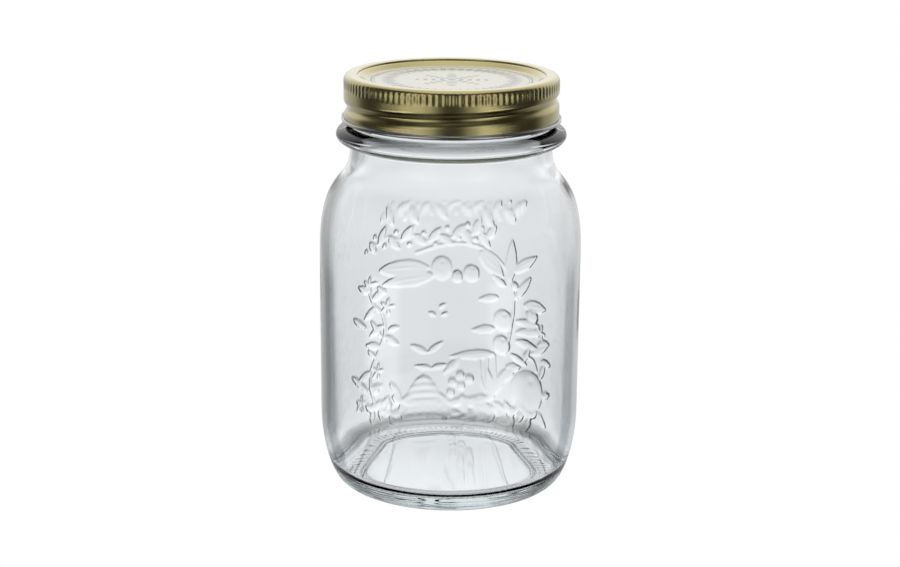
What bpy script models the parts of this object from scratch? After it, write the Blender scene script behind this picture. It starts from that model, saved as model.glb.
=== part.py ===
"""Half-litre glass preserving jar with a two-piece screw closure.

Four loose pieces: the glass, the screw band, the flat lid disc and the sealing
ring under the disc. Metres, +Z up, origin at the centre of the base.
The band turns on a right-hand thread, one pitch up for each turn.
"""

import math

import bmesh
import bpy
from mathutils import Matrix

# ---- Glass body -------------------------------------------------------------
BODY_RADIUS = 0.0430
WALL = 0.0029                 # thickness of the straight body wall
HEEL_HEIGHT = 0.0234          # rounded foot of the body
HEEL_WIDTH = 0.0070           # body radius less the outer edge of the bearing ring
HEEL_POWER = 1.8              # 2 would be a plain ellipse
STRAIGHT_HEIGHT = 0.0538      # straight wall between heel and shoulder
SHOULDER_HEIGHT = 0.0349
SHOULDER_LOW_PULL = 0.83      # how far the body's line runs on into the shoulder
SHOULDER_HIGH_PULL = 0.37     # how far the neck's line runs down into it
NECK_HEIGHT = 0.0017          # plain neck between shoulder and transfer bead
BEAD_HEIGHT = 0.0059          # glass bead below the band
BEAD_PROUD = 0.0045           # how far it stands out from the finish

# ---- Base -------------------------------------------------------------------
RING_WIDTH = 0.0072           # flat bearing ring
PUSH_UP = 0.0018              # rise of the base inside the bearing ring
PUSH_UP_STEP = 0.0010         # the part of that rise right at the ring's inner edge
BASE_THICKNESS = 0.0034
INNER_HEEL_WIDTH = 0.0040     # inside corner between floor and wall
INNER_HEEL_HEIGHT = 0.0038

# ---- Finish: the threaded mouth ---------------------------------------------
FINISH_RADIUS = 0.0329        # glass between the threads
FINISH_WALL = 0.0033
FINISH_HEIGHT = 0.0140        # bead to lip
LIP_RADIUS = 0.0012           # rounding of the lip's two edges
THREAD_PITCH = 0.00635
THREAD_PROUD = 0.0013
THREAD_BEAD_RADIUS = 0.0016   # radius of the round thread bead
THREAD_START_RISE = 0.0044    # lowest thread centre above the bead
THREAD_END_DROP = 0.0022      # highest thread centre below the lip
THREAD_TAPER = math.radians(24)

# ---- Screw band and lid -----------------------------------------------------
SHEET = 0.0003                # tinplate
GAP = 0.0003                  # between pieces that touch
THREAD_CLEARANCE = 0.00035    # thread crest to the inside of the band
BAND_OVER_BEAD = 0.00145      # band's lower edge above the glass bead
BAND_EDGE_RADIUS = 0.00195    # outer rounding between skirt and top
HEM_WIDTH = 0.00109           # rolled hem at the lower edge
HEM_HEIGHT = 0.0014
GROOVE_DEPTH = 0.00104        # rolled thread of the band
GROOVE_HALF_WIDTH = 0.0021
GROOVE_START_RISE = 0.0019    # lowest groove centre above the band's lower edge
GROOVE_END_DROP = 0.0067      # highest groove centre below the band's top
GROOVE_FADE = math.radians(45)
GROOVE_FRONT_RISE = 0.00545   # groove centre above the lower edge, seen from the front
SEAL_THICKNESS = 0.0010
SEAL_WIDTH = 0.0026
PANEL_DROP = 0.0021           # band top to the disc's centre panel
STEP_WIDTH = 0.0023           # sloping step round the centre panel
LEDGE_WIDTH = 0.0026          # flat top of the band, in from its rounded edge

SEGMENTS = 48                 # around the axis
FRONT = math.radians(270)     # the front of the jar faces -Y
COLLECTION = "mason_jar"

# ---- Heights and radii that follow ------------------------------------------
body_top = HEEL_HEIGHT + STRAIGHT_HEIGHT
neck_bottom = body_top + SHOULDER_HEIGHT
bead_bottom = neck_bottom + NECK_HEIGHT
bead_top = bead_bottom + BEAD_HEIGHT
lip_top = bead_top + FINISH_HEIGHT
mouth_radius = FINISH_RADIUS - FINISH_WALL
ring_outer = BODY_RADIUS - HEEL_WIDTH
ring_inner = ring_outer - RING_WIDTH
floor_height = PUSH_UP + BASE_THICKNESS

seal_bottom = lip_top + GAP
seal_top = seal_bottom + SEAL_THICKNESS
disc_top = seal_top + GAP + SHEET
band_top = disc_top + GAP + SHEET
band_bottom = bead_top + BAND_OVER_BEAD

thread_crest = FINISH_RADIUS + THREAD_PROUD
band_inner = thread_crest + THREAD_CLEARANCE
band_outer = band_inner + SHEET
edge_centre_radius = band_outer - BAND_EDGE_RADIUS
edge_centre_height = band_top - BAND_EDGE_RADIUS
ledge_inner = edge_centre_radius - LEDGE_WIDTH
groove_front = band_bottom + GROOVE_FRONT_RISE


def clear_scene():
    for old in list(bpy.data.objects):
        bpy.data.objects.remove(old, do_unlink=True)


def collection(name):
    made = bpy.data.collections.new(name)
    bpy.context.scene.collection.children.link(made)
    return made


def material(name, colour, roughness, metallic=0.0, transmission=0.0):
    made = bpy.data.materials.new(name)
    made.use_nodes = True
    shader = made.node_tree.nodes["Principled BSDF"]
    shader.inputs["Base Color"].default_value = (*colour, 1.0)
    shader.inputs["Roughness"].default_value = roughness
    shader.inputs["Metallic"].default_value = metallic
    shader.inputs["Transmission Weight"].default_value = transmission
    made.diffuse_color = (*colour, 1.0)
    return made


# ---- Outlines: points are (radius, height) ----------------------------------
def arc(centre, radii, start_deg, end_deg, count):
    """Points on an ellipse's arc, both ends included."""
    points = []
    for step in range(count + 1):
        angle = math.radians(start_deg + (end_deg - start_deg) * step / count)
        points.append((centre[0] + radii[0] * math.cos(angle), centre[1] + radii[1] * math.sin(angle)))
    return points


def bezier(p0, p1, p2, p3, count):
    points = []
    for step in range(count + 1):
        t = step / count
        weights = ((1 - t) ** 3, 3 * t * (1 - t) ** 2, 3 * t * t * (1 - t), t ** 3)
        points.append(tuple(sum(w * p[i] for w, p in zip(weights, (p0, p1, p2, p3))) for i in (0, 1)))
    return points


def shoulder(inset, count):
    """The shoulder from neck to body, moved in by the wall's thickness."""
    top_radius = FINISH_RADIUS - (FINISH_WALL if inset else 0)
    low_radius = BODY_RADIUS - inset
    return bezier((top_radius, neck_bottom),
                  (top_radius, neck_bottom - SHOULDER_HIGH_PULL * SHOULDER_HEIGHT),
                  (low_radius, body_top + SHOULDER_LOW_PULL * SHOULDER_HEIGHT),
                  (low_radius, body_top), count)


def heel(count):
    """The rounded foot, from the wall down to the bearing ring."""
    points = []
    for step in range(count + 1):
        angle = math.pi / 2 * step / count
        out = math.cos(angle) ** (2 / HEEL_POWER)
        down = math.sin(angle) ** (2 / HEEL_POWER)
        points.append((ring_outer + HEEL_WIDTH * out, HEEL_HEIGHT * (1 - down)))
    return points


def without_doubles(points):
    kept = []
    for point in points:
        if not kept or math.dist(point, kept[-1]) > 1e-6:
            kept.append(point)
    return kept


def glass_outline():
    inner_radius = BODY_RADIUS - WALL
    floor_edge = inner_radius - INNER_HEEL_WIDTH
    inside = [(0, floor_height), (floor_edge * 0.6, floor_height)]
    inside += arc((floor_edge, floor_height + INNER_HEEL_HEIGHT),
                  (INNER_HEEL_WIDTH, INNER_HEEL_HEIGHT), -90, 0, 6)
    inside += shoulder(WALL, 8)[::-1]
    lip = arc((mouth_radius + LIP_RADIUS, lip_top - LIP_RADIUS), (LIP_RADIUS, LIP_RADIUS), 180, 90, 3)
    lip += arc((FINISH_RADIUS - LIP_RADIUS, lip_top - LIP_RADIUS), (LIP_RADIUS, LIP_RADIUS), 90, 0, 3)
    bead = arc((FINISH_RADIUS, (bead_top + bead_bottom) / 2), (BEAD_PROUD, BEAD_HEIGHT / 2), 90, -90, 8)
    base = [(ring_inner, 0), (ring_inner - PUSH_UP_STEP, PUSH_UP_STEP),
            (ring_inner * 0.5, PUSH_UP_STEP + (PUSH_UP - PUSH_UP_STEP) * 0.75), (0, PUSH_UP)]
    return without_doubles(inside + lip + bead + shoulder(0, 9) + heel(7) + base)


def band_outline():
    """Middle of the sheet, from the ledge's inner edge out, down and round the hem."""
    middle_edge = BAND_EDGE_RADIUS - SHEET / 2
    middle_radius = band_inner + SHEET / 2
    middle_hem = (HEM_WIDTH - SHEET) / 2
    hem_centre = (band_inner + HEM_WIDTH / 2, band_bottom + HEM_WIDTH / 2)
    skirt_low = hem_centre[1] + HEM_WIDTH / 2
    rows = 11
    points = [(ledge_inner, band_top - SHEET / 2)]
    points += arc((edge_centre_radius, edge_centre_height), (middle_edge, middle_edge), 90, 0, 4)
    points += [(middle_radius, edge_centre_height + (skirt_low - edge_centre_height) * row / rows)
               for row in range(1, rows + 1)]
    points += arc(hem_centre, (middle_hem, middle_hem), 180, 360, 4)
    points.append((hem_centre[0] + middle_hem, band_bottom + HEM_HEIGHT - SHEET / 2))
    return without_doubles(points)


def disc_outline():
    """Middle of the sheet, from the centre out to the turned-down edge."""
    rim_height = disc_top - SHEET / 2
    panel_height = band_top - PANEL_DROP - SHEET / 2
    edge_radius = BAND_EDGE_RADIUS - SHEET - GAP - SHEET / 2
    return without_doubles(
        [(0, panel_height), (ledge_inner - STEP_WIDTH, panel_height), (ledge_inner, rim_height)]
        + arc((edge_centre_radius, edge_centre_height), (edge_radius, edge_radius), 90, 0, 4))


def seal_outline():
    """A flat ring with rounded corners, just outside the disc's step."""
    middle = ledge_inner + GAP + SEAL_WIDTH / 2
    corner = SEAL_THICKNESS * 0.3
    half = SEAL_WIDTH / 2 - corner
    points = arc((middle - half, seal_bottom + corner), (corner, corner), 270, 180, 2)
    points += arc((middle - half, seal_top - corner), (corner, corner), 180, 90, 2)
    points += arc((middle + half, seal_top - corner), (corner, corner), 90, 0, 2)
    points += arc((middle + half, seal_bottom + corner), (corner, corner), 0, -90, 2)
    return points


# ---- Solids -----------------------------------------------------------------
def turned(name, outline, target, closed=False):
    """Turn an outline round the Z axis with a Screw modifier."""
    mesh = bpy.data.meshes.new(name)
    edges = [(i, i + 1) for i in range(len(outline) - 1)]
    if closed:
        edges.append((len(outline) - 1, 0))
    mesh.from_pydata([(radius, 0, height) for radius, height in outline], edges, [])
    made = bpy.data.objects.new(name, mesh)
    target.objects.link(made)
    screw = made.modifiers.new("turn", "SCREW")
    screw.axis = "Z"
    screw.steps = screw.render_steps = SEGMENTS
    screw.use_merge_vertices = True
    screw.merge_threshold = 0.00001
    return made


def as_mesh(source, name, target):
    """Replace an object by a plain mesh of what its modifiers or curve make."""
    graph = bpy.context.evaluated_depsgraph_get()
    mesh = bpy.data.meshes.new_from_object(source.evaluated_get(graph))
    made = bpy.data.objects.new(name, mesh)
    made.matrix_world = source.matrix_world
    target.objects.link(made)
    bpy.data.objects.remove(source, do_unlink=True)
    body = bmesh.new()
    body.from_mesh(mesh)
    bmesh.ops.remove_doubles(body, verts=body.verts, dist=1e-6)
    body.to_mesh(mesh)
    body.free()
    return made


def thread_bead(target):
    """The glass thread: a round bead on a helix, tapered away at both ends."""
    low = bead_top + THREAD_START_RISE
    high = lip_top - THREAD_END_DROP
    lead = THREAD_PITCH / (2 * math.pi)
    middle_height = groove_front + THREAD_PITCH / 2
    start = FRONT + (low - middle_height) / lead
    end = FRONT + (high - middle_height) / lead
    count = max(8, round((end - start) / (2 * math.pi) * SEGMENTS))
    curve = bpy.data.curves.new("thread", "CURVE")
    curve.dimensions = "3D"
    curve.bevel_depth = THREAD_BEAD_RADIUS
    curve.bevel_resolution = 2
    curve.use_fill_caps = True
    spline = curve.splines.new("POLY")
    spline.points.add(count)
    for step, point in enumerate(spline.points):
        angle = start + (end - start) * step / count
        swell = min(1.0, (angle - start) / THREAD_TAPER, (end - angle) / THREAD_TAPER)
        size = 0.25 + 0.75 * math.sin(math.pi / 2 * max(0.0, swell))
        radius = thread_crest - THREAD_BEAD_RADIUS - (1 - size) * THREAD_PROUD * 0.4
        point.co = (radius * math.cos(angle), radius * math.sin(angle),
                    middle_height + lead * (angle - FRONT), 1)
        point.radius = size
    path = bpy.data.objects.new("thread_path", curve)
    target.objects.link(path)
    bpy.context.view_layer.update()
    bead = as_mesh(path, "thread_bead", target)
    bead.hide_render = True
    bead.display_type = "WIRE"
    return bead


def smooth(made, angle_deg):
    made.data.shade_smooth()
    made.data.set_sharp_from_angle(angle=math.radians(angle_deg))


def glass_jar(parts, guides):
    turned_glass = turned("turned_glass", glass_outline(), parts)
    bpy.context.view_layer.update()
    jar = as_mesh(turned_glass, "glass_jar", parts)
    join = jar.modifiers.new("thread", "BOOLEAN")
    join.operation = "UNION"
    join.object = thread_bead(guides)
    smooth(jar, 40)
    return jar


def groove_depth(angle, height):
    """How far the band's rolled thread sinks in at an angle and a height."""
    lead = THREAD_PITCH / (2 * math.pi)
    start = FRONT + (band_bottom + GROOVE_START_RISE - groove_front) / lead
    end = FRONT + (band_top - GROOVE_END_DROP - groove_front) / lead
    deepest = 0.0
    for turn in range(-1, 3):
        along = angle + turn * 2 * math.pi
        if not start < along < end:
            continue
        off = abs(height - (groove_front + lead * (along - FRONT))) / GROOVE_HALF_WIDTH
        if off < 1:
            fade = min(1.0, (along - start) / GROOVE_FADE, (end - along) / GROOVE_FADE)
            shape = (1 + math.cos(math.pi * off)) / 2
            deepest = max(deepest, GROOVE_DEPTH * shape * math.sin(math.pi / 2 * fade) ** 2)
    return deepest


def screw_band(parts):
    turned_band = turned("turned_band", band_outline(), parts)
    bpy.context.view_layer.update()
    band = as_mesh(turned_band, "screw_band", parts)
    skirt_radius = band_inner + SHEET / 2
    for vertex in band.data.vertices:
        radius = math.hypot(vertex.co.x, vertex.co.y)
        on_skirt = abs(radius - skirt_radius) < 1e-5 and vertex.co.z < edge_centre_height
        if on_skirt and vertex.co.z > band_bottom + HEM_HEIGHT:
            angle = math.atan2(vertex.co.y, vertex.co.x) % (2 * math.pi)
            scale = 1 - groove_depth(angle, vertex.co.z) / radius
            vertex.co.x *= scale
            vertex.co.y *= scale
    thicken(band)
    smooth(band, 50)
    return band


def thicken(sheet):
    wall = sheet.modifiers.new("sheet", "SOLIDIFY")
    wall.thickness = SHEET
    wall.offset = 0.0
    wall.use_even_offset = True


def lid_disc(parts):
    disc = turned("lid_disc", disc_outline(), parts)
    thicken(disc)
    return disc


def sealing_ring(parts):
    return turned("sealing_ring", seal_outline(), parts, closed=True)


def main():
    clear_scene()
    parts = collection(COLLECTION)
    guides = collection("cutters")
    finishes = {
        "glass_jar": material("clear_glass", (0.86, 0.90, 0.89), 0.03, transmission=1.0),
        "screw_band": material("gold_lacquered_tinplate", (0.53, 0.46, 0.25), 0.28, metallic=1.0),
        "lid_disc": material("printed_tinplate", (0.74, 0.72, 0.60), 0.35, metallic=0.6),
        "sealing_ring": material("sealing_compound", (0.82, 0.81, 0.76), 0.6),
    }
    pieces = [glass_jar(parts, guides), screw_band(parts), lid_disc(parts), sealing_ring(parts)]
    for piece in pieces:
        piece.data.materials.clear()
        piece.data.materials.append(finishes[piece.name])
        piece.matrix_world = Matrix.Identity(4)
    bpy.context.view_layer.update()


main()
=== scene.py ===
import math

import bpy
import numpy as np
from mathutils import Matrix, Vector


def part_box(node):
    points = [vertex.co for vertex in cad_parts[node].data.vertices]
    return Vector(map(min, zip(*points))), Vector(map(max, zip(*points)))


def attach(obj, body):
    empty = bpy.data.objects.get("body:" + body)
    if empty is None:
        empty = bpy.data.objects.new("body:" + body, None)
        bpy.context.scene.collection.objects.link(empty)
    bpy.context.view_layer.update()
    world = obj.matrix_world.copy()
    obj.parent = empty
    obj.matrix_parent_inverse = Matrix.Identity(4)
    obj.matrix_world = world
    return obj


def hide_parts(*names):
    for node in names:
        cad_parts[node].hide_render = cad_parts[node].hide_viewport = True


# Half-litre preserving jar with its two-piece closure, seen against white.
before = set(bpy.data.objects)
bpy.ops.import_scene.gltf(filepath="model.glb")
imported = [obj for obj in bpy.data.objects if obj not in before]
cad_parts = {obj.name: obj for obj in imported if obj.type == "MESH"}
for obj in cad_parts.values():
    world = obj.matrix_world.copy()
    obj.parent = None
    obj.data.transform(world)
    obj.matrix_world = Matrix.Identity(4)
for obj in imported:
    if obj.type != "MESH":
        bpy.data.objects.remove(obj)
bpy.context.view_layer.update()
tau = 2 * math.pi
front = math.radians(270)  # the plain side of the jar looks along -Y
back = math.radians(90)  # the ornament is on the far wall
tiny = 1e-7  # metres; anything nearer is the same place

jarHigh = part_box("glass_jar")[1]
bandLow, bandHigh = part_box("screw_band")
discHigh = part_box("lid_disc")[1]
sealLow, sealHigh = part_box("sealing_ring")
print("frame loaded", sorted(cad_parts))


class Wire:
    # a node's output that takes part in sums
    def __init__(self, tree, socket):
        self.tree, self.socket = tree, socket

    def math(self, operation, *others):
        made = self.tree.nodes.new("ShaderNodeMath")
        made.operation = operation
        for spot, value in enumerate((self, *others)):
            plug(self.tree, made.inputs[spot], value)
        return Wire(self.tree, made.outputs[0])

    def __add__(self, other):
        return self.math("ADD", other)

    def __sub__(self, other):
        return self.math("SUBTRACT", other)

    def __mul__(self, other):
        return self.math("MULTIPLY", other)

    def __truediv__(self, other):
        return self.math("DIVIDE", other)

    def __neg__(self):
        return self.math("MULTIPLY", -1.0)

    def __rsub__(self, other):
        return (-self).math("ADD", other)

    def __rtruediv__(self, other):
        return self.math("POWER", -1.0).math("MULTIPLY", other)

    __radd__ = __add__
    __rmul__ = __mul__


def plug(tree, socket, value):
    if isinstance(value, Wire):
        tree.links.new(value.socket, socket)
    else:
        socket.default_value = value


class Graph:
    def __init__(self, tree):
        self.tree = tree

    def node(self, kind, settings=None, inputs=None):
        made = self.tree.nodes.new(kind)
        for name, value in (settings or {}).items():
            if name == "stops":
                self.setStops(made.color_ramp.elements, value)
            else:
                setattr(made, name, value)
        for name, value in (inputs or {}).items():
            plug(self.tree, made.inputs[name], value)
        return made

    def setStops(self, elements, stops):
        while len(elements) < len(stops):
            elements.new(1.0)
        for element, (place, colour) in zip(elements, stops):
            element.position = place
            element.color = colour

    def out(self, kind, output, settings=None, inputs=None):
        return Wire(self.tree, self.node(kind, settings, inputs).outputs[output])

    def split(self, vector):
        parts = self.node("ShaderNodeSeparateXYZ", None, {0: vector})
        return [Wire(self.tree, part) for part in parts.outputs]

    def ramp(self, factor, stops):
        coloured = [(place, grey(value) if isinstance(value, (int, float)) else value)
                    for place, value in stops]
        made = self.node("ShaderNodeValToRGB", {"stops": coloured}, {"Fac": factor})
        made.color_ramp.interpolation = "EASE"
        return Wire(self.tree, made.outputs["Color"])

    def step(self, value, low, high):
        # 0 below low, 1 above high, smooth between; low may be the larger one
        return self.out("ShaderNodeMapRange", "Result", {"interpolation_type": "SMOOTHSTEP"},
                        {"Value": value, "From Min": low, "From Max": high})

    def scale(self, colour, factor):
        made = self.node("ShaderNodeVectorMath", {"operation": "SCALE"}, {0: colour, "Scale": factor})
        return Wire(self.tree, made.outputs[0])

    def mix(self, factor, a, b):
        # the node has one pair of inputs for each kind of value; 6 and 7 are its colours
        made = self.node("ShaderNodeMix", {"data_type": "RGBA"}, {0: factor})
        plug(self.tree, made.inputs[6], a)
        plug(self.tree, made.inputs[7], b)
        return Wire(self.tree, made.outputs[2])


def grey(value):
    return (value, value, value, 1.0)


def newMaterial(name):
    made = bpy.data.materials.new(name)
    made.use_nodes = True
    made.node_tree.nodes.clear()
    return made, Graph(made.node_tree)


def finishMaterial(graph, shader, volume=None):
    output = graph.node("ShaderNodeOutputMaterial")
    graph.tree.links.new(shader.outputs[0], output.inputs["Surface"])
    if volume:
        graph.tree.links.new(volume.outputs[0], output.inputs["Volume"])


class Place:
    # where a point is, on Object coordinates; away is its distance from the axis
    def __init__(self, graph):
        self.spot = graph.out("ShaderNodeTexCoord", "Object")
        self.x, self.y, self.z = graph.split(self.spot)
        self.away = (self.x * self.x + self.y * self.y).math("SQRT")
        self.angle = self.y.math("ARCTAN2", self.x)


view = {
    "distance": 0.5997,
    "height": 0.2347,
    "pitch": 15.72,
    "roll": 0.5,
    "lens": 75.1,
    "sensor": 36.0,
    "clip": (0.01, 100),
}


def makeCamera():
    data = bpy.data.cameras.new("camera")
    data.lens = view["lens"]
    data.sensor_width = view["sensor"]
    data.clip_start, data.clip_end = view["clip"]
    camera = bpy.data.objects.new("camera", data)
    place = Matrix.Translation((0, -view["distance"], view["height"]))
    tilt = Matrix.Rotation(math.radians(90 - view["pitch"]), 4, "X")
    roll = Matrix.Rotation(math.radians(view["roll"]), 4, "Z")
    camera.matrix_world = place @ tilt @ roll
    bpy.context.scene.collection.objects.link(camera)
    bpy.context.scene.camera = camera


studio = {
    "floorSize": 12.0,
    "floorDrop": 0.0002,
    # what the surfaces mirror: brightness by degrees round the table from the camera's side ...
    "around": [(-180, 0.62), (-128, 0.42), (-106, 0.04), (-84, 0.03), (-66, 0.04), (-48, 0.40), (-36, 0.66),
               (-22, 0.46), (-10, 0.03), (8, 0.03), (22, 0.34), (34, 0.66), (46, 0.34), (58, 0.03),
               (100, 0.03), (122, 0.36), (142, 0.5), (180, 0.62)],
    # ... and by degrees above its level, on the camera's side and on the far side
    "nearHeight": [(-90, 0.3), (-60, 0.15), (-38, 0.15), (-22, 0.8), (-16, 1.0), (0, 1.2), (10, 1.5),
                   (26, 0.9), (40, 0.12), (58, 0.12), (72, 0.85)],
    "farHeight": [(-90, 0.3), (-30, 0.8), (-16, 1.0), (0, 1.3), (10, 1.7), (30, 1.7), (72, 0.85)],
    "farFade": (0.2, -0.3),  # where one gives way to the other, as a cosine round the table
    "overhead": (45, 75),  # from here up the place round the table no longer matters
    # what the glass lets through, by height and round the table
    "through": [(-90, 0.6), (-60, 0.55), (-42, 0.30), (-27, 0.56), (-16, 0.82), (-6, 1.0), (6, 1.3),
                (20, 1.2), (45, 0.5), (80, 0.8)],
    "flags": [(-180, 1.0), (-168, 1.0), (-158, 0.45), (-140, 0.45), (-126, 0.95), (-60, 0.8), (0, 0.95),
              (60, 0.8), (130, 0.95), (146, 0.8), (158, 0.8), (169, 1.0)],
    "soft": 1.0,  # light on the matt surfaces
    # two low panels on the camera's side: from, to (degrees round the table), brightness
    "lowPanels": [(-77, -45, 2.6), (35, 65, 2.2)],
    "lowPanelFoot": (-21, -19.5),
    "lowPanelTop": (-14, -16),
    "lowPanelFade": 6,
    "headroom": 2,  # a ramp's colours stay under 1, so it holds brightness divided by this
}


def makeFloor():
    # a plain white table; glass and metal look past it at the studio below
    bpy.ops.mesh.primitive_plane_add(size=studio["floorSize"], location=(0, 0, -studio["floorDrop"]))
    floor = bpy.context.object
    floor.name = "floor"
    made, graph = newMaterial("whiteTable")
    finishMaterial(graph, graph.node("ShaderNodeEmission", None, {"Color": grey(1.0), "Strength": 1.0}))
    floor.data.materials.append(made)
    floor.visible_glossy = floor.visible_transmission = floor.visible_diffuse = False


def degreeRamp(graph, degrees, span, stops, share=1):
    placed = [((at + span) / (2 * span), value / share) for at, value in stops]
    return graph.ramp((degrees + span) / (2 * span), placed)


def makeWorld():
    world = bpy.data.worlds.new("studio")
    world.use_nodes = True
    world.node_tree.nodes.clear()
    graph = Graph(world.node_tree)
    x, y, z = graph.split(graph.out("ShaderNodeTexCoord", "Generated"))
    rise = z.math("ARCSINE") * (180 / math.pi)
    turn = x.math("ARCTAN2", -y) * (180 / math.pi)  # 0 on the camera's side, positive towards +X
    headroom = studio["headroom"]
    level = degreeRamp(graph, turn, 180, studio["around"])
    near = degreeRamp(graph, rise, 90, studio["nearHeight"], headroom)
    far = degreeRamp(graph, rise, 90, studio["farHeight"], headroom)
    farSide = graph.step((turn * (math.pi / 180)).math("COSINE"), *studio["farFade"])
    high = graph.step(rise, *studio["overhead"])
    panels = 0
    fade = studio["lowPanelFade"]
    for left, right, bright in studio["lowPanels"]:
        across = graph.step(turn, left - fade, left + fade) * graph.step(turn, right + fade, right - fade)
        panels = across * bright + panels
    panels = panels * graph.step(rise, *studio["lowPanelTop"])
    panels = panels * graph.step(rise, *studio["lowPanelFoot"])
    strength = graph.mix(high, level, grey(1.0)) * headroom + panels * headroom
    mirrored = graph.scale(graph.mix(farSide, near, far), strength)
    flag = degreeRamp(graph, turn, 180, studio["flags"])
    through = graph.scale(degreeRamp(graph, rise, 90, studio["through"], headroom), flag * headroom)
    light = graph.node("ShaderNodeLightPath")
    passed = Wire(graph.tree, light.outputs["Is Transmission Ray"])
    bounced = Wire(graph.tree, light.outputs["Is Glossy Ray"])
    seen = graph.mix(bounced, grey(studio["soft"]), graph.mix(passed, mirrored, through))
    shown = graph.mix(Wire(graph.tree, light.outputs["Is Camera Ray"]), seen, grey(1.0))
    sky = graph.node("ShaderNodeBackground", None, {"Color": shown, "Strength": 1.0})
    output = graph.node("ShaderNodeOutputWorld")
    graph.tree.links.new(sky.outputs[0], output.inputs[0])
    bpy.context.scene.world = world
    bpy.context.scene.view_settings.view_transform = "Standard"


def arc(centre, radii, startDeg, endDeg, count):
    turn = np.radians(np.linspace(startDeg, endDeg, count + 1))
    return list(zip(centre[0] + radii[0] * np.cos(turn), centre[1] + radii[1] * np.sin(turn)))


def bezier(p0, p1, p2, p3, count):
    t = np.linspace(0, 1, count + 1)[:, None]
    return [tuple(p) for p in (1 - t) ** 3 * np.array(p0) + 3 * t * (1 - t) ** 2 * np.array(p1)
            + 3 * t * t * (1 - t) * np.array(p2) + t ** 3 * np.array(p3)]


def line(start, end, count):
    return [tuple(p) for p in np.linspace(start, end, count + 1)]


def smoothstep(value, low, high):
    t = np.clip((value - low) / (high - low), 0, 1)
    return t * t * (3 - 2 * t)


def makeObject(name, points, faces, material=None):
    mesh = bpy.data.meshes.new(name)
    mesh.from_pydata(points, [], faces)
    mesh.update()
    mesh.shade_smooth()
    made = bpy.data.objects.new(name, mesh)
    bpy.context.scene.collection.objects.link(made)
    if material:
        mesh.materials.append(material)
    return made


def bake(made):
    # a plain mesh of what the modifiers make
    graph = bpy.context.evaluated_depsgraph_get()
    graph.update()
    mesh = bpy.data.meshes.new_from_object(made.evaluated_get(graph))
    made.modifiers.clear()
    old, made.data = made.data, mesh
    bpy.data.meshes.remove(old)
    mesh.name = made.name
    return made


def turnedSheet(name, outline, columns, material):
    # an open outline turned round Z; a first point on the axis becomes the pole
    points, faces, rings = [], [], []
    for radius, height in outline:
        if radius < tiny:
            rings.append([len(points)])
            points.append((0, 0, height))
            continue
        rings.append(list(range(len(points), len(points) + columns)))
        points += [(radius * math.cos(tau * i / columns), radius * math.sin(tau * i / columns), height)
                   for i in range(columns)]
    for upper, lower in zip(rings, rings[1:]):
        for i in range(columns):
            j = (i + 1) % columns
            if len(upper) == 1:
                faces.append((upper[0], lower[i], lower[j]))
            else:
                faces.append((upper[i], lower[i], lower[j], upper[j]))
    return makeObject(name, points, faces, material)


glass = {
    "bodyRadius": jarHigh.x,
    "wall": 0.0029,
    "heelHeight": 0.0234,
    "heelWidth": 0.0070,
    "heelPower": 1.8,
    "straightHeight": 0.0538,
    "shoulderHeight": 0.0349,
    "shoulderLowPull": 0.83,
    "shoulderHighPull": 0.37,
    "neckHeight": 0.0017,
    "beadHeight": 0.0059,
    "beadProud": 0.0045,
    "ringWidth": 0.0072,
    "pushUp": 0.0018,
    "pushUpStep": 0.0010,
    "domeFlatness": 40,
    "baseThickness": 0.0034,
    "innerHeelWidth": 0.0040,
    "innerHeelHeight": 0.0038,
    "finishRadius": 0.0329,
    "finishWall": 0.0033,
    "lipRadius": 0.0012,
    "threadPitch": 0.00635,
    "threadProud": 0.0013,
    "threadHalfWidth": 0.00155,
    "threadStartRise": 0.0044,
    "threadEndDrop": 0.0022,
    "threadFrontHeight": 0.129725,
    "threadTaper": math.radians(24),
    "columns": 120,  # round the inside, the finish and the plain side
    "ornamentSpread": math.radians(62),  # either side of the back
    "ornamentRefine": 5,
    "ringColumns": 500,
    "ringRibs": 100,
    "ringRibDepth": 0.00012,
    "ringRibLow": 0.0291,  # the ribs reach from this radius ...
    "ringRibHigh": 0.0322,  # ... to this one
    "ringRibFade": 0.0005,
    "dashes": 60,  # raised under the base
    "dashRadius": 0.0243,
    "dashHeight": 0.00012,
    "dashWidth": (0.0009, 0.0004),
    "dashLength": (0.30, 0.16),  # as a share of the step
    "ripple": 0.00004,  # unevenness of the inner wall
    "rippleFoot": (0.008, 0.02),
    "rippleTop": (0.115, 0.10),
    # share, waves round the jar, climb, phase
    "rippleWaves": [(1.0, 3, 90, 0.7), (0.7, 5, -140, 2.1), (0.5, 8, 0, 4.0), (0.35, 13, 21, 0)],
    "heelRidge": 0.00004,  # faint lines round the lower heel
    "heelRidgeStep": 0.0013,
    "heelRidgeTop": (0.009, 0.006),
    "heelRidgeFoot": (0.001, 0.003),
    "heelRidgeWaves": [(0.8, 2, 1.0), (0.5, 5, 0)],  # share, waves round the jar, phase
    "relief": 0.0008,
    "reliefTop": 0.097,
    "clear": (0.975, 0.99, 1.0, 1),
    # painted shade: colour of the upright wall by how far it turns away, 0 to 1, darkened in a band short of
    # the silhouette and clear again at the very edge
    "edgeShadeByTurn": [(0.53, (0.96, 0.975, 0.985, 1)), (0.60, (0.38, 0.41, 0.44, 1)),
                   (0.70, (0.33, 0.36, 0.39, 1)), (0.775, (0.90, 0.93, 0.95, 1))],
    "edgeShadeTop": (0.086, 0.068),
    "depthColour": (0.74, 0.78, 0.79, 1),
    "depthDensity": 26.0,
    "streakScale": (60, 60, 14),
    "streakStrength": 0.10,
    "streakDistance": 0.0008,
    "streakFoot": (0.008, 0.02),
}


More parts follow.
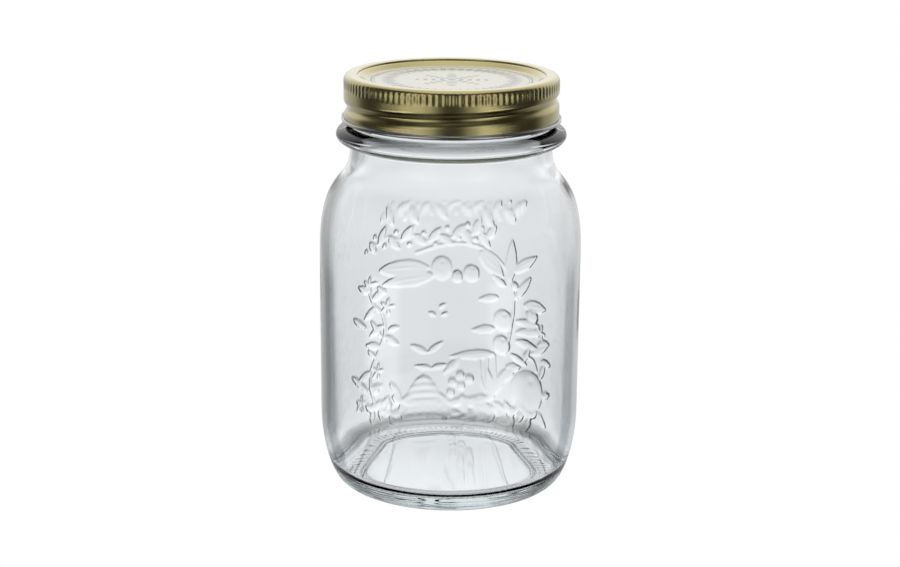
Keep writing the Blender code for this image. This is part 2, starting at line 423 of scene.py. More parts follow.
def glassOutline(g):
    # rows of the glass as (zone, radius, height), up the inside and down the outside
    rows = []

    def lay(zone, points):
        rows.extend((zone, r, z) for r, z in points)

    bodyTop = g["heelHeight"] + g["straightHeight"]
    neckLow = bodyTop + g["shoulderHeight"]
    beadLow = neckLow + g["neckHeight"]
    beadHigh = beadLow + g["beadHeight"]
    lip = jarHigh.z
    mouth = g["finishRadius"] - g["finishWall"]
    inner = g["bodyRadius"] - g["wall"]
    floorEdge = inner - g["innerHeelWidth"]
    floorHeight = g["pushUp"] + g["baseThickness"]
    ringOuter = g["bodyRadius"] - g["heelWidth"]
    ringInner = ringOuter - g["ringWidth"]

    def shoulder(topRadius, lowRadius, count):
        highPull = neckLow - g["shoulderHighPull"] * g["shoulderHeight"]
        lowPull = bodyTop + g["shoulderLowPull"] * g["shoulderHeight"]
        return bezier((topRadius, neckLow), (topRadius, highPull), (lowRadius, lowPull),
                      (lowRadius, bodyTop), count)

    lay("inside", line((0, floorHeight), (0.97 * floorEdge, floorHeight), 9))
    lay("inside", [(0.99 * floorEdge, floorHeight), (floorEdge, floorHeight)])
    lay("inside", arc((floorEdge, floorHeight + g["innerHeelHeight"]),
                      (g["innerHeelWidth"], g["innerHeelHeight"]), -90, 0, 14)[1:])
    lay("inside", line((inner, floorHeight + g["innerHeelHeight"]), (inner, bodyTop), 18)[1:])
    lay("inside", shoulder(mouth, inner, 18)[::-1][1:])
    lay("inside", line((mouth, neckLow), (mouth, lip - g["lipRadius"]), 4)[1:])
    lay("lip", arc((mouth + g["lipRadius"], lip - g["lipRadius"]), (g["lipRadius"],) * 2, 180, 90, 5)[1:])
    lay("lip", arc((g["finishRadius"] - g["lipRadius"], lip - g["lipRadius"]), (g["lipRadius"],) * 2,
                   90, 0, 5))
    lay("finish", line((g["finishRadius"], lip - g["lipRadius"]), (g["finishRadius"], beadHigh), 26)[1:-1])
    beadMiddle = (g["finishRadius"], (beadLow + beadHigh) / 2)
    lay("wall", arc(beadMiddle, (g["beadProud"], g["beadHeight"] / 2), 90, -90, 18))
    lay("wall", line((g["finishRadius"], beadLow), (g["finishRadius"], neckLow), 2)[1:])
    lay("wall", shoulder(g["finishRadius"], g["bodyRadius"], 62)[1:])
    lay("wall", line((g["bodyRadius"], bodyTop), (g["bodyRadius"], g["heelHeight"]), 115)[1:])
    turn = np.linspace(0, math.pi / 2, 48)[1:-1]
    out, down = np.cos(turn) ** (2 / g["heelPower"]), np.sin(turn) ** (2 / g["heelPower"])
    lay("wall", zip(ringOuter + g["heelWidth"] * out, g["heelHeight"] * (1 - down)))
    lay("ring", line((ringOuter, 0), (ringInner, 0), 9))
    lay("ring", line((ringInner, 0), (ringInner - g["pushUpStep"], g["pushUpStep"]), 3)[1:])
    dome = ringInner - g["pushUpStep"]
    share = np.append(np.linspace(1, 0.91, 9)[1:], np.linspace(0.91, 0, 7)[1:])
    bulge = 1 - share ** g["domeFlatness"]
    lay("dome", zip(dome * share, g["pushUpStep"] + (g["pushUp"] - g["pushUpStep"]) * bulge))
    return rows


def ringAngles(g):
    # angles of the points in a ring, for each zone
    coarse = np.arange(g["columns"]) * tau / g["columns"]
    mixed = []
    for here, there in zip(coarse, np.append(coarse[1:], tau)):
        fine = abs((here + there) / 2 - back) < g["ornamentSpread"]
        parts = g["ornamentRefine"] if fine else 1
        mixed += [here + (there - here) * part / parts for part in range(parts)]
    ring = np.arange(g["ringColumns"]) * tau / g["ringColumns"]
    return {"inside": coarse, "lip": coarse, "finish": coarse, "wall": np.array(mixed),
            "ring": ring, "dome": ring[::2]}


def joinRings(faces, upper, upperAngles, lower, lowerAngles):
    # joins two rings, even where one has more points than the other
    if len(upper) == len(lower):
        count = len(upper)
        faces += [(upper[i], lower[i], lower[(i + 1) % count], upper[(i + 1) % count]) for i in range(count)]
        return
    i = j = 0
    upperNext, lowerNext = np.append(upperAngles, tau), np.append(lowerAngles, tau)
    while i < len(upper) or j < len(lower):
        a, b = upper[i % len(upper)], lower[j % len(lower)]
        if j < len(lower) and (i >= len(upper) or lowerNext[j + 1] <= upperNext[i + 1] + tiny / 100):
            faces.append((a, b, lower[(j + 1) % len(lower)]))
            j += 1
        else:
            faces.append((a, b, upper[(i + 1) % len(upper)]))
            i += 1


# the raised ornament: shapes drawn on the unrolled far wall, in millimetres, seen from the front
ornament = {
    # stalk end (u, v), length, width, heading
    "leaves": [(-33, 54, 7, 2.8, 150), (-31.5, 51, 8, 3.2, 20), (-29, 48, 7.5, 3.0, 205),
               (-25.5, 41, 8, 3.0, 200), (-25, 37, 7, 2.8, -35), (-27.5, 33.5, 8, 3.0, 165),
               (-32.5, 25, 8, 3.2, 195), (38, 24, 8, 3.0, 60), (40, 18, 7, 2.8, 20), (38, 12, 8, 3.0, -30),
               (36, 36, 8, 3.0, 20),
               (-8, 59.7, 20, 6.4, 176), (-6, 57.2, 20, 5.4, 184), (10.5, 66.5, 13, 6.4, -38),
               (23.5, 57.2, 15, 4.8, 87), (24.5, 60.5, 13.5, 3.8, 34), (26, 50.5, 12, 3.2, 56),
               (29.5, 49.0, 12, 4.8, 6), (26.5, 42.6, 11, 3.0, 3), (26.5, 38.6, 12.5, 3.4, 13),
               (26.5, 35.6, 10, 3.2, -6), (33, 32, 13, 3.4, 30), (38.5, 30.6, 7.5, 3.0, 2),
               (19, 50.4, 9, 3.0, 190), (18, 38.6, 10, 3.2, 188), (22, 55, 7, 2.6, 150),
               (18, 29.2, 18, 3.6, 187), (22, 25, 7, 3.4, 12), (21, 20, 8, 3.2, 50), (17, 14.5, 12, 3.8, 62),
               (17, 13.0, 11, 3.6, 104), (17, 13.6, 14, 3.8, 196), (15.5, 10.0, 13, 3.6, 208),
               (14, 7.6, 11, 3.0, 218), (5, 27, 10, 3.0, 222), (24, 30.5, 8, 2.6, -22),
               (30, 29.0, 6, 2.4, 66),
               (-35, 56.8, 7.5, 2.0, 2), (-28.5, 55.2, 5.5, 2.2, -34), (-32, 43.6, 9, 2.4, -50),
               (-23.5, 39.2, 4.5, 2.4, 6), (-42, 46.4, 9, 2.4, -34), (-34, 33.2, 5.5, 2.2, -40),
               (-44, 25.8, 13, 2.6, -40), (-34, 18.6, 8, 2.8, 0), (-23, 19.2, 9, 3.0, -56),
               (-20, 6.6, 7, 3.0, 12), (-4.5, 45.4, 3.2, 1.7, 28),
               (-5.5, 42.6, 3.4, 1.7, 152), (-3.5, 42.6, 3.0, 1.6, 24), (-8.5, 28.8, 7.5, 2.4, 34),
               (-8.5, 28.8, 7.5, 2.4, 150), (-7.0, 23.0, 6.5, 2.2, 10), (-7.0, 23.0, 6.5, 2.2, 168)],
    # middle (u, v), radius, height over width
    "fruit": [(-3.2, 59.8, 4.2, 1.0), (2.6, 57.0, 2.1, 1.0), (7.8, 58.4, 3.0, 1.0), (21, 42, 4.3, 0.95),
              (20.4, 33, 3.6, 1.0), (33.5, 46, 3.0, 0.9), (32.5, 18.2, 8.6, 0.9), (25.5, 55.6, 1.8, 1.0),
              (-30, 17.8, 2.2, 0.9), (-24, 11, 1.7, 1.0), (23, 5.6, 3.4, 0.7)],
    "stems": [[(-34, 58), (-31, 50), (-26, 45), (-25, 38), (-29, 31), (-33, 24), (-32, 15), (-27, 8)],
              [(-13, 65.5), (-4, 67.6), (5, 68.6), (14, 66.8), (20.5, 62.6), (24, 57), (25.5, 48), (24, 38),
               (22, 30)],
              [(17, 13), (12.6, 18), (11.6, 27)], [(17, 13), (14.6, 20), (14.4, 28)],
              [(17, 13), (17.6, 21), (17.6, 28.5)], [(36, 26.6), (34, 30), (30, 31)]],
    "berries": [(8, 19.2), (4.9, 16.6), (0.8, 13.8), (4.6, 20.2), (1.6, 17.6)],
    "berryRadius": 1.75,
    "blossoms": [(-33, 57), (-24, 47.5), (-29, 24.5), (-39, 14.5), (38, 41)],
    "blossomRadius": 3.4,
    "gourd": ((-10, 4), 19, 16.5, 6),  # foot (u, v), width, height, rolls
    # leafy vines above the frame
    "vines": [[(-25, 80.5), (-12, 79.5), (2, 81), (14, 79.5), (25, 82)],
              [(-33, 71), (-20, 71.5), (-6, 70), (6, 72.5), (14, 72)]],
    "vineLeaves": 12,
    "vineSway": 0.9,
    "footRow": (-32, 36, 4.2),  # from, to, step
    "footHeight": 8.5,
    "seed": 7,
    "sideFade": (48, 46),  # the relief dies away towards the edges of its field
    "footFade": (1, 3),
    "topFade": (97, 94),
}


class Carving:
    def __init__(self, u, v):
        self.u, self.v = u, v
        self.height = np.zeros_like(u)

    def add(self, height):
        self.height = np.maximum(self.height, height)

    def local(self, at, turnDeg):
        turn = math.radians(turnDeg)
        du, dv = self.u - at[0], self.v - at[1]
        return du * math.cos(turn) + dv * math.sin(turn), -du * math.sin(turn) + dv * math.cos(turn)

    def leaf(self, at, length, width, turnDeg, high=0.82):
        # the rim stands up steeply, the blade is dished and the midrib raised
        a, b = self.local(at, turnDeg)
        t = np.clip(a / length, 0, 1)
        half = width / 2 * np.sin(math.pi * t ** 0.85) ** 0.8 + 1e-6
        s = np.clip(np.abs(b) / half, 0, 1)
        blade = (1 - s ** 5) ** 0.7 * (0.7 + 0.3 * s ** 2)
        rib = 0.3 * np.exp(-(b / 0.32) ** 2) * np.sin(math.pi * t)
        self.add(np.where((a > 0) & (a < length), high * (blade + rib * (s < 0.9)), 0))

    def blossom(self, at, radius, petals=5, high=0.9):
        a, b = self.local(at, 0)
        away, turn = np.hypot(a, b), np.arctan2(b, a)
        reach = radius * (0.62 + 0.38 * np.cos(petals * turn))
        s = np.clip(away / reach, 0, 1)
        self.add(high * (1 - s ** 4) ** 0.6 * (0.6 + 0.4 * s))

    def fruit(self, at, radius, squash=1.0, high=1.0):
        a, b = self.local(at, 0)
        s = np.clip(np.hypot(a, b / squash) / radius, 0, 1)
        toEye = (a - radius * 0.1) ** 2 + (b - radius * squash * 0.5) ** 2
        eye = 0.35 * np.exp(-toEye / (radius * 0.16) ** 2)
        self.add(high * (1 - s ** 3) ** 0.55 * (1 - eye))

    def stem(self, points, width=0.7, high=0.6):
        points = np.array(points, float)
        for p, q in zip(points, points[1:]):
            pq = q - p
            t = np.clip(((self.u - p[0]) * pq[0] + (self.v - p[1]) * pq[1]) / (pq @ pq), 0, 1)
            s = np.clip(np.hypot(self.u - p[0] - t * pq[0], self.v - p[1] - t * pq[1]) / width, 0, 1)
            self.add(high * (1 - s ** 2) ** 0.5)

    def gourd(self, at, width, tall, bands):
        # a squat shape with rounded rolls one above the other
        a, b = self.local(at, 0)
        t = np.clip(b / tall, 0, 1)
        half = width / 2 * (1 - t ** 1.5) ** 0.62 + 1e-6
        s = np.clip(np.abs(a) / half, 0, 1)
        roll = np.abs(np.sin(math.pi * bands * (t + 0.02 * s ** 2))) ** 0.7
        self.add(np.where((b > 0) & (b < tall), (1 - s ** 4) ** 0.6 * (0.25 + 0.75 * roll), 0))


def smoothRun(points, count):
    # points along a smooth curve through the given ones
    points = np.array(points, float)
    t = np.linspace(0, len(points) - 1, count)
    padded = np.vstack([2 * points[0] - points[1], points, 2 * points[-1] - points[-2]])
    i = np.minimum(t.astype(int), len(points) - 2)
    f = (t - i)[:, None]
    p = [padded[i + k] for k in range(4)]
    return 0.5 * (2 * p[1] + (p[2] - p[0]) * f + (2 * p[0] - 5 * p[1] + 4 * p[2] - p[3]) * f ** 2
                  + (3 * p[1] - p[0] - 3 * p[2] + p[3]) * f ** 3)


def carveOrnament(carving):
    # the vines and the row at the foot are drawn at random, in this order
    rng = np.random.default_rng(ornament["seed"])
    for points in ornament["stems"]:
        carving.stem(smoothRun(points, 36), 0.6, 0.55)
    for u, v, length, width, heading in ornament["leaves"]:
        carving.leaf((u, v), length, width, heading)
    for u, v, radius, squash in ornament["fruit"]:
        carving.fruit((u, v), radius, squash)
    for at in ornament["berries"]:
        carving.fruit(at, ornament["berryRadius"])
    carving.gourd(*ornament["gourd"])
    for at in ornament["blossoms"]:
        carving.blossom(at, ornament["blossomRadius"])
    count, sway = ornament["vineLeaves"], ornament["vineSway"]
    for points in ornament["vines"]:
        run = smoothRun(points, count)
        bent = run[:, 1] + sway * np.cos(np.arange(count) * math.pi)
        carving.stem(smoothRun(np.column_stack([run[:, 0], bent]), 90), 0.45, 0.35)
        for j, (u, v) in enumerate(run):
            up = 1 if j % 2 else -1
            carving.leaf((u, v - sway * up), rng.uniform(5.6, 7.4), 3.0, up * rng.uniform(34, 64), 0.85)
            carving.fruit((u - 1.9, v + 2.0 * up), 0.95, 1.0, 0.8)
    for u in np.arange(*ornament["footRow"]):
        at = (u + rng.uniform(-1, 1), ornament["footHeight"] + rng.uniform(-2.0, 2.5))
        for turnDeg in (25, 155, -90):
            carving.leaf(at, rng.uniform(4.8, 6.5), 2.8, turnDeg + rng.uniform(-30, 30), 1.0)
        carving.fruit((at[0], at[1] + 1.0), rng.uniform(1.3, 1.9))


def threadRise(g, height, angle):
    # the glass thread, a round bead along a helix that fades out at both ends
    lead = g["threadPitch"] / tau
    low = jarHigh.z - g["threadEndDrop"]
    beadHigh = g["heelHeight"] + g["straightHeight"] + g["shoulderHeight"] + g["neckHeight"] + g["beadHeight"]
    start = front + (beadHigh + g["threadStartRise"] - g["threadFrontHeight"]) / lead
    end = front + (low - g["threadFrontHeight"]) / lead
    highest = np.zeros_like(height)
    for turn in range(-1, 3):
        along = angle + turn * tau
        fade = np.clip(np.minimum(along - start, end - along) / g["threadTaper"], 0, 1)
        apart = (height - g["threadFrontHeight"] - lead * (along - front)) / g["threadHalfWidth"]
        rise = np.sqrt(np.clip(1 - apart ** 2, 0, 1)) * np.sin(fade * math.pi / 2)
        highest = np.maximum(highest, g["threadProud"] * rise)
    return highest


def glassHeights(g, zone, height, angle):
    # how far each point stands off the plain outline
    off = np.where(zone == "finish", threadRise(g, height, angle), 0)
    waver = height / g["heelRidgeStep"] * tau
    for share, waves, phase in g["heelRidgeWaves"]:
        waver = waver + share * np.sin(waves * angle + phase)
    ridges = g["heelRidge"] * np.sin(waver)
    ridges *= smoothstep(height, *g["heelRidgeTop"]) * smoothstep(height, *g["heelRidgeFoot"])
    off += np.where((zone == "wall") & (height < g["heelRidgeTop"][0]), ridges, 0)
    wall = (zone == "wall") & (height < g["reliefTop"])
    u = (back - angle[wall]) * g["bodyRadius"] * 1000
    v = height[wall] * 1000
    field = Carving(u, v)
    carveOrnament(field)
    edge = smoothstep(np.abs(u), *ornament["sideFade"])
    edge *= smoothstep(v, *ornament["footFade"]) * smoothstep(v, *ornament["topFade"])
    off[wall] += g["relief"] * field.height * edge
    return off


def makeGlass(g, material):
    rows = glassOutline(g)
    angles = ringAngles(g)
    zones, radii, heights, turns, rings = [], [], [], [], []
    count = 0
    for zone, radius, height in rows:
        ring = angles[zone] if radius > tiny else np.zeros(1)
        zones += [zone] * len(ring)
        radii.append(np.full(len(ring), radius))
        heights.append(np.full(len(ring), height))
        turns.append(ring)
        rings.append((list(range(count, count + len(ring))), ring))
        count += len(ring)
    zone = np.array(zones)
    radius, height, angle = map(np.concatenate, (radii, heights, turns))
    # outward direction of the outline at each row
    outline = np.array([(r, z) for _, r, z in rows])
    slope = np.gradient(outline, axis=0)
    slope /= np.linalg.norm(slope, axis=1)[:, None] + 1e-12
    rowOf = np.concatenate([np.full(len(ids), i) for i, (ids, _) in enumerate(rings)])
    normal = np.column_stack([-slope[:, 1], slope[:, 0]])[rowOf]
    off = glassHeights(g, zone, height, angle)
    # the inner wall wanders a little, as it does where glass is blown
    calm = smoothstep(height, *g["rippleFoot"]) * smoothstep(height, *g["rippleTop"])
    wander = sum(share * np.sin(waves * angle + climb * height + phase)
                 for share, waves, climb, phase in g["rippleWaves"])
    off += np.where(zone == "inside", calm * wander * g["ripple"], 0)
    # ribs of the bearing ring stand on the ground, the hollows between them lift
    ribbed = smoothstep(radius, g["ringRibHigh"] + g["ringRibFade"], g["ringRibHigh"])
    ribbed *= smoothstep(radius, g["ringRibLow"] - g["ringRibFade"], g["ringRibLow"])
    hollow = g["ringRibDepth"] * (0.5 - 0.5 * np.cos(g["ringRibs"] * angle)) * ribbed
    lift = np.where((zone == "ring") & (height < tiny), hollow, 0)
    lift += baseMarks(g, zone, radius, angle)
    newRadius = radius + normal[:, 0] * off
    newHeight = height + normal[:, 1] * off + lift
    points = np.column_stack([newRadius * np.cos(angle), newRadius * np.sin(angle), newHeight])
    faces = []
    for (upper, upperAngles), (lower, lowerAngles) in zip(rings, rings[1:]):
        if len(upper) == 1:
            faces += [(upper[0], lower[i], lower[(i + 1) % len(lower)]) for i in range(len(lower))]
        elif len(lower) == 1:
            faces += [(upper[i], lower[0], upper[(i + 1) % len(upper)]) for i in range(len(upper))]
        else:
            joinRings(faces, upper, upperAngles, lower, lowerAngles)
    return makeObject("glassJar", points.tolist(), faces, material)


def baseMarks(g, zone, radius, angle):
    # a ring of plain raised dashes under the base
    along = (angle * g["dashes"] / tau) % 1
    dash = smoothstep(np.abs(along - 0.5), *g["dashLength"])
    dash *= smoothstep(np.abs(radius - g["dashRadius"]), *g["dashWidth"])
    return np.where(zone == "dome", -g["dashHeight"] * dash, 0)


def clearGlass(g):
    made, graph = newMaterial("clearGlass")
    place = Place(graph)
    facing = graph.out("ShaderNodeLayerWeight", "Facing", None, {"Blend": 0.5})
    normalX, normalY, normalZ = graph.split(graph.out("ShaderNodeNewGeometry", "Normal"))
    lying = normalZ.math("ABSOLUTE")
    # painted shade: the glass colour darkens in a band towards the silhouette, standing in for the dark
    # surroundings seen through the edges
    paintedEdgeShade = graph.ramp(facing, [(0.0, g["clear"]), *g["edgeShadeByTurn"]])
    # the painted edge shade goes only where a ray comes in through the outside of the upright wall
    outward = (normalX * place.x + normalY * place.y) / place.away
    body = graph.step(outward, 0.0, 0.2) * graph.step(place.z, *g["edgeShadeTop"])
    body = body * graph.step(lying, 0.75, 0.35)
    # the real clear tint, with the painted edge shade mixed in on the lower upright wall
    tintAndEdgeShade = graph.mix(body, g["clear"], paintedEdgeShade)
    stretched = graph.out("ShaderNodeMapping", "Vector", None, {
        "Vector": place.spot, "Scale": g["streakScale"]})
    streaks = graph.out("ShaderNodeTexNoise", "Fac", None, {"Vector": stretched, "Scale": 1.0, "Detail": 2.0})
    bump = graph.out("ShaderNodeBump", "Normal", None, {
        "Strength": g["streakStrength"], "Distance": g["streakDistance"],
        "Height": streaks * graph.step(place.z, *g["streakFoot"])})
    shader = graph.node("ShaderNodeBsdfPrincipled", None, {
        "Base Color": tintAndEdgeShade, "Roughness": 0.0, "IOR": 1.5, "Transmission Weight": 1.0, "Normal": bump})
    depth = graph.node("ShaderNodeVolumeAbsorption", None, {
        "Color": g["depthColour"], "Density": g["depthDensity"]})
    finishMaterial(graph, shader, depth)
    return made


band = {
    "sheet": 0.0003,
    "edgeRadius": 0.00195,
    "hemWidth": 0.00109,
    "hemHeight": 0.0014,
    "ledgeWidth": 0.0026,
    "innerCurl": 0.0004,  # the ledge's inner edge turns down towards the disc
    "columns": 600,
    "skirtRows": 38,
    "ribs": 108,
    "ribDepth": 0.00022,
    "ribTop": 0.0010,  # below the top of the band
    "ribBottom": 0.0046,
    "grooveDepth": 0.00110,
    "grooveHalfWidth": 0.0025,
    "grooveStartRise": 0.0019,
    "grooveEndDrop": 0.0067,
    "grooveFrontRise": 0.0060,
    "grooveFade": math.radians(45),
    "pitch": 0.00635,
    "edgeFade": (0.0001, -0.0008),  # from the foot of the rounded edge
    "skirtFade": (-0.0012, -0.0006),  # from the skirt's outer face
    "hemFade": 0.0004,
    "golds": [(0.55, 0.475, 0.19, 1), (0.64, 0.56, 0.25, 1)],
    "hemColour": (0.60, 0.59, 0.55, 1),
    "hemColourTop": (0.0018, 0.0013),
    "cloudScale": 260.0,
    "grainScale": 2600.0,
}
bandTop = bandHigh.z
skirtOuter = bandHigh.x - band["hemWidth"] + band["sheet"]


def bandOutline(b):
    half = b["sheet"] / 2
    edge = (skirtOuter - b["edgeRadius"], bandTop - b["edgeRadius"])
    middle = skirtOuter - half
    hem = (skirtOuter - b["sheet"] + b["hemWidth"] / 2, bandLow.z + b["hemWidth"] / 2)
    hemRadius = (b["hemWidth"] - b["sheet"]) / 2
    curl = b["innerCurl"]
    points = arc((edge[0] - b["ledgeWidth"] + half + curl, bandTop - half - curl), (curl, curl), 180, 90, 4)
    points += line(points[-1], (edge[0], bandTop - half), 4)[1:]
    points += arc(edge, (b["edgeRadius"] - half,) * 2, 90, 0, 8)[1:]
    points += line((middle, edge[1]), (middle, hem[1] + b["hemWidth"] / 2), b["skirtRows"])[1:]
    points += arc(hem, (hemRadius,) * 2, 180, 360, 8)
    points.append((hem[0] + hemRadius, bandLow.z + b["hemHeight"] - half))
    return points


def rollTree(b):
    # ribs under the top edge and the rolled thread, as a radial pull on the turned sheet
    tree = bpy.data.node_groups.new("rollBand", "GeometryNodeTree")
    face = tree.interface
    face.new_socket("Geometry", in_out="INPUT", socket_type="NodeSocketGeometry")
    for name, value in (("Rib Count", float(b["ribs"])), ("Rib Depth", b["ribDepth"]),
                        ("Groove Depth", b["grooveDepth"]), ("Groove Half Width", b["grooveHalfWidth"]),
                        ("Pitch", b["pitch"])):
        face.new_socket(name, in_out="INPUT", socket_type="NodeSocketFloat").default_value = value
    face.new_socket("Material", in_out="INPUT", socket_type="NodeSocketMaterial")
    face.new_socket("Geometry", in_out="OUTPUT", socket_type="NodeSocketGeometry")
    graph = Graph(tree)
    entry = graph.node("NodeGroupInput")
    given = {s.name: Wire(tree, s) for s in entry.outputs if s.name}
    x, y, z = graph.split(graph.out("GeometryNodeInputPosition", 0))
    radius = (x * x + y * y).math("SQRT")
    angle = y.math("ARCTAN2", x)
    edgeHeight = bandTop - b["edgeRadius"]
    ribMiddle = bandTop - (b["ribTop"] + b["ribBottom"]) / 2
    ribHalf = (b["ribBottom"] - b["ribTop"]) / 2
    lens = (1 - ((z - ribMiddle) / ribHalf).math("POWER", 2.0)).math("MAXIMUM", 0.0)
    wave = 0.5 - (angle * given["Rib Count"]).math("COSINE") * 0.5
    ribs = wave * lens.math("SQRT") * given["Rib Depth"]
    lead = given["Pitch"] * (1 / tau)
    grooveFront = bandLow.z + b["grooveFrontRise"]
    first = (bandLow.z + b["grooveStartRise"] - grooveFront) / lead + front
    last = (bandTop - b["grooveEndDrop"] - grooveFront) / lead + front
    deepest = None
    for turn in range(3):
        along = angle + turn * tau
        apart = ((z - grooveFront - lead * (along - front)) / given["Groove Half Width"]).math("ABSOLUTE")
        shape = (apart.math("MINIMUM", 1.0) * math.pi).math("COSINE") * 0.5 + 0.5
        fadeIn = ((along - first) / b["grooveFade"]).math("MAXIMUM", 0.0).math("MINIMUM", 1.0)
        fadeOut = ((last - along) / b["grooveFade"]).math("MAXIMUM", 0.0).math("MINIMUM", 1.0)
        fade = (fadeIn.math("MINIMUM", fadeOut) * (math.pi / 2)).math("SINE").math("POWER", 2.0)
        pull = shape * fade * given["Groove Depth"]
        deepest = pull if deepest is None else deepest.math("MAXIMUM", pull)
    hemTop = bandLow.z + b["hemHeight"]
    onSkirt = graph.step(radius, *(skirtOuter + fade for fade in b["skirtFade"]))
    onSkirt = onSkirt * graph.step(z, hemTop, hemTop + b["hemFade"])
    grooved = deepest * graph.step(z, *(edgeHeight + fade for fade in b["edgeFade"]))
    scale = 1 - (ribs + grooved) * onSkirt / radius
    moved = graph.out("ShaderNodeCombineXYZ", 0, None, {0: x * scale, 1: y * scale, 2: z})
    shaped = graph.out("GeometryNodeSetPosition", 0, None, {"Geometry": given["Geometry"], "Position": moved})
    real = graph.out("GeometryNodeRealizeInstances", 0, None, {"Geometry": shaped})
    coated = graph.out("GeometryNodeSetMaterial", 0, None, {"Geometry": real, "Material": given["Material"]})
    leave = graph.node("NodeGroupOutput")
    tree.links.new(coated.socket, leave.inputs[0])
    return tree


def useTree(made, tree, **values):
    # the named inputs are set by their identifiers
    modifier = made.modifiers.new(tree.name, "NODES")
    modifier.node_group = tree
    for item in tree.interface.items_tree:
        if item.in_out == "INPUT" and item.name in values:
            modifier[item.identifier] = values[item.name]


def thicken(made, sheet):
    wall = made.modifiers.new("sheet", "SOLIDIFY")
    wall.thickness = sheet
    wall.offset = 0.0
    wall.use_even_offset = True


def makeBand(b, material):
    made = turnedSheet("screwBand", bandOutline(b), b["columns"], material)
    useTree(made, rollTree(b), Material=material)
    thicken(made, b["sheet"])
    return bake(made)


def goldLacquer(b):
    made, graph = newMaterial("goldLacquer")
    place = Place(graph)
    cloud = graph.out("ShaderNodeTexNoise", "Fac", None, {
        "Vector": place.spot, "Scale": b["cloudScale"], "Detail": 3.0})
    gold = graph.mix(cloud, *b["golds"])
    hem = graph.step(place.z, *(bandLow.z + rise for rise in b["hemColourTop"]))
    colour = graph.mix(hem, gold, b["hemColour"])
    grain = graph.out("ShaderNodeTexNoise", "Fac", None, {
        "Vector": place.spot, "Scale": b["grainScale"], "Detail": 2.0})
    bump = graph.out("ShaderNodeBump", "Normal", None, {
        "Strength": 0.08, "Distance": 0.0001, "Height": grain})
    shader = graph.node("ShaderNodeBsdfPrincipled", None, {
        "Base Color": colour, "Metallic": 1.0, "Roughness": cloud * 0.08 + 0.20, "Normal": bump,
        "Coat Weight": 1.0, "Coat Roughness": 0.12, "Coat IOR": 1.5})
    finishMaterial(graph, shader)
    return made


disc = {
    "sheet": 0.0003,
    "gap": 0.0003,
    "stepWidth": 0.0023,
    "panelDrop": 0.0021,
    "columns": 240,
    # the print, in millimetres from the middle: each line has its radius and where its edge fades
    "border": (26.0, 0.34, 0.18),
    "innerLine": (25.1, 0.16, 0.08),
    "petals": 22,
    "wreathRadius": 20.4,
    "petalLength": 2.6,
    "starPoints": 8,
    "starReach": (8.2, 4.2),
    "printedTo": (27.6, 27.0),
    "gold": (0.60, 0.53, 0.24, 1),
    "creams": [(0.66, 0.65, 0.55, 1), (0.73, 0.72, 0.62, 1)],
    "ink": (0.11, 0.13, 0.19, 1),
}


def discOutline(d, b):
    half = d["sheet"] / 2
    edge = (skirtOuter - b["edgeRadius"], bandTop - b["edgeRadius"])
    outer = b["edgeRadius"] - b["sheet"] - d["gap"] - half
    ledge = edge[0] - b["ledgeWidth"]
    panel = (ledge - d["stepWidth"], bandTop - d["panelDrop"] - half)
    rim = discHigh.z - half
    points = line((0, panel[1]), (panel[0] - 0.0006, panel[1]), 22)
    points += bezier((panel[0] - 0.0006, panel[1]), (panel[0] + 0.0002, panel[1]), (ledge - 0.0008, rim),
                     (ledge, rim), 10)[1:]
    points += line((ledge, rim), (edge[0], rim), 3)[1:]
    points += arc(edge, (outer, outer), 90, 0, 6)[1:]
    return points


def makeDisc(d, b, material):
    made = turnedSheet("lidDisc", discOutline(d, b), d["columns"], material)
    thicken(made, d["sheet"])
    return bake(made)


def printedTin(d):
    # pale gold tin with a thin printed border and a plain wreath of leaves
    made, graph = newMaterial("printedTin")
    place = Place(graph)
    angle = place.angle
    mm = place.away * 1000
    lines = []
    for radius, outer, inner in (d["border"], d["innerLine"]):
        lines.append(graph.step((mm - radius).math("ABSOLUTE"), outer, inner))
    wave = (angle * d["petals"]).math("COSINE").math("ABSOLUTE")
    wreath = graph.step((mm - d["wreathRadius"]).math("ABSOLUTE") - wave * d["petalLength"], 0.1, -0.25)
    veins = (angle * (d["petals"] * 6) + mm * 1.3).math("SINE").math("ABSOLUTE")
    middle, swing = d["starReach"]
    star = (angle * d["starPoints"]).math("COSINE") * swing + middle
    rose = graph.step(mm - star, 0.2, -0.3) * graph.step((mm * 2.4).math("SINE"), -0.2, 0.3)
    ink = lines[0].math("MAXIMUM", lines[1]).math("MAXIMUM", wreath * veins).math("MAXIMUM", rose * 0.8)
    panel = graph.step(mm, *d["printedTo"])
    cloud = graph.out("ShaderNodeTexNoise", "Fac", None, {
        "Vector": place.spot, "Scale": 300.0, "Detail": 2.0})
    printed = graph.mix(ink * 0.85, graph.mix(cloud, *d["creams"]), d["ink"])
    shader = graph.node("ShaderNodeBsdfPrincipled", None, {
        "Base Color": graph.mix(panel, d["gold"], printed), "Metallic": 1.0 - panel * 0.9,
        "Roughness": cloud * 0.06 + 0.24, "Coat Weight": 1.0 - panel * 0.75,
        "Coat Roughness": 0.1, "Coat IOR": 1.5})
    finishMaterial(graph, shader)
    return made


seal = {
    "rounding": 0.0003,
    "columns": 240,
    "creams": [(0.74, 0.72, 0.66, 1), (0.83, 0.81, 0.75, 1)],
}


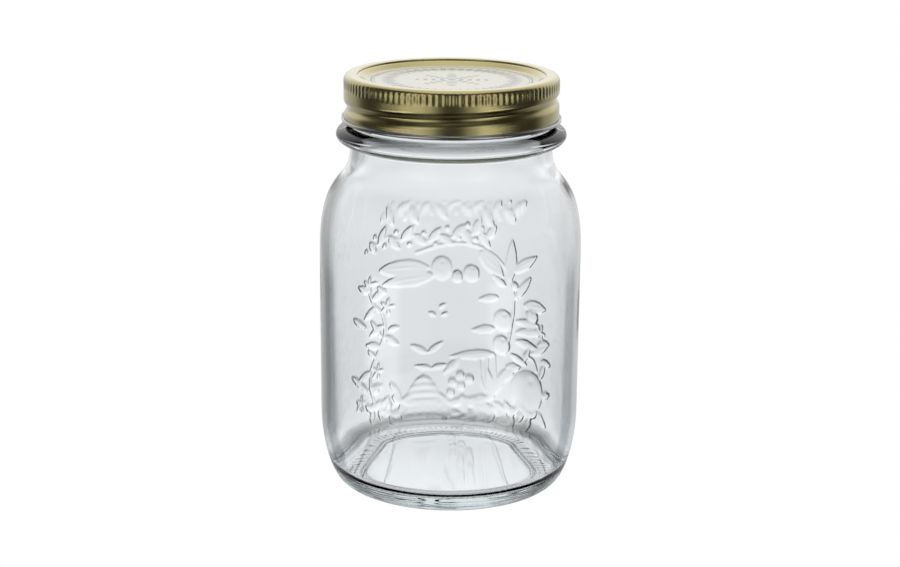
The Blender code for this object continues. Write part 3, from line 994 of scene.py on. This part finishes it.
def sealTree():
    # the flowed-in compound: a bead swept round a circle
    # known fault: Width and Height below are the wrong way round, so the bead stands on its narrow side
    tree = bpy.data.node_groups.new("flowSeal", "GeometryNodeTree")
    face = tree.interface
    for name in ("Ring Radius", "Bead Width", "Bead Height", "Lift"):
        face.new_socket(name, in_out="INPUT", socket_type="NodeSocketFloat")
    face.new_socket("Material", in_out="INPUT", socket_type="NodeSocketMaterial")
    face.new_socket("Geometry", in_out="OUTPUT", socket_type="NodeSocketGeometry")
    graph = Graph(tree)
    entry = graph.node("NodeGroupInput")
    given = {s.name: Wire(tree, s) for s in entry.outputs if s.name}
    circle = graph.out("GeometryNodeCurvePrimitiveCircle", "Curve", None,
                       {"Resolution": seal["columns"], "Radius": given["Ring Radius"]})
    flat = graph.out("GeometryNodeCurvePrimitiveQuadrilateral", "Curve", None,
                     {"Width": given["Bead Height"], "Height": given["Bead Width"]})
    soft = graph.out("GeometryNodeFilletCurve", "Curve", None,
                     {"Curve": flat, "Radius": seal["rounding"]})
    swept = graph.out("GeometryNodeCurveToMesh", "Mesh", None, {"Curve": circle, "Profile Curve": soft})
    upward = graph.out("ShaderNodeCombineXYZ", 0, None, {2: given["Lift"]})
    lifted = graph.out("GeometryNodeTransform", "Geometry", None, {"Geometry": swept, "Translation": upward})
    real = graph.out("GeometryNodeRealizeInstances", 0, None, {"Geometry": lifted})
    coated = graph.out("GeometryNodeSetMaterial", 0, None, {"Geometry": real, "Material": given["Material"]})
    leave = graph.node("NodeGroupOutput")
    tree.links.new(coated.socket, leave.inputs[0])
    return tree


def makeSeal(material):
    made = makeObject("sealingRing", [], [], material)
    inner = min(math.hypot(v.co.x, v.co.y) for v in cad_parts["sealing_ring"].data.vertices)
    useTree(made, sealTree(), **{
        "Ring Radius": (inner + sealHigh.x) / 2,
        "Bead Width": sealHigh.x - inner,
        "Bead Height": sealHigh.z - sealLow.z,
        "Lift": (sealLow.z + sealHigh.z) / 2,
        "Material": material})
    return bake(made)


def creamCompound(s):
    made, graph = newMaterial("creamCompound")
    spot = Place(graph).spot
    cloud = graph.out("ShaderNodeTexNoise", "Fac", None, {"Vector": spot, "Scale": 700.0, "Detail": 3.0})
    bump = graph.out("ShaderNodeBump", "Normal", None, {"Strength": 0.2, "Distance": 0.0001, "Height": cloud})
    shader = graph.node("ShaderNodeBsdfPrincipled", None, {
        "Base Color": graph.mix(cloud, *s["creams"]),
        "Roughness": 0.55, "Normal": bump})
    finishMaterial(graph, shader)
    return made


makeCamera()
makeFloor()
makeWorld()
print("camera and studio set")

for piece, node, body, slot in (
        (makeGlass(glass, clearGlass(glass)), "glass_jar", "jar", "clear_glass"),
        (makeBand(band, goldLacquer(band)), "screw_band", "band", "gold_band"),
        (makeDisc(disc, band, printedTin(disc)), "lid_disc", "lid", "printed_disc"),
        (makeSeal(creamCompound(seal)), "sealing_ring", "lid", "sealing_compound")):
    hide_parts(node)
    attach(piece, body)
    print(piece.name, "has", sum(len(p.vertices) - 2 for p in piece.data.polygons), "triangles")
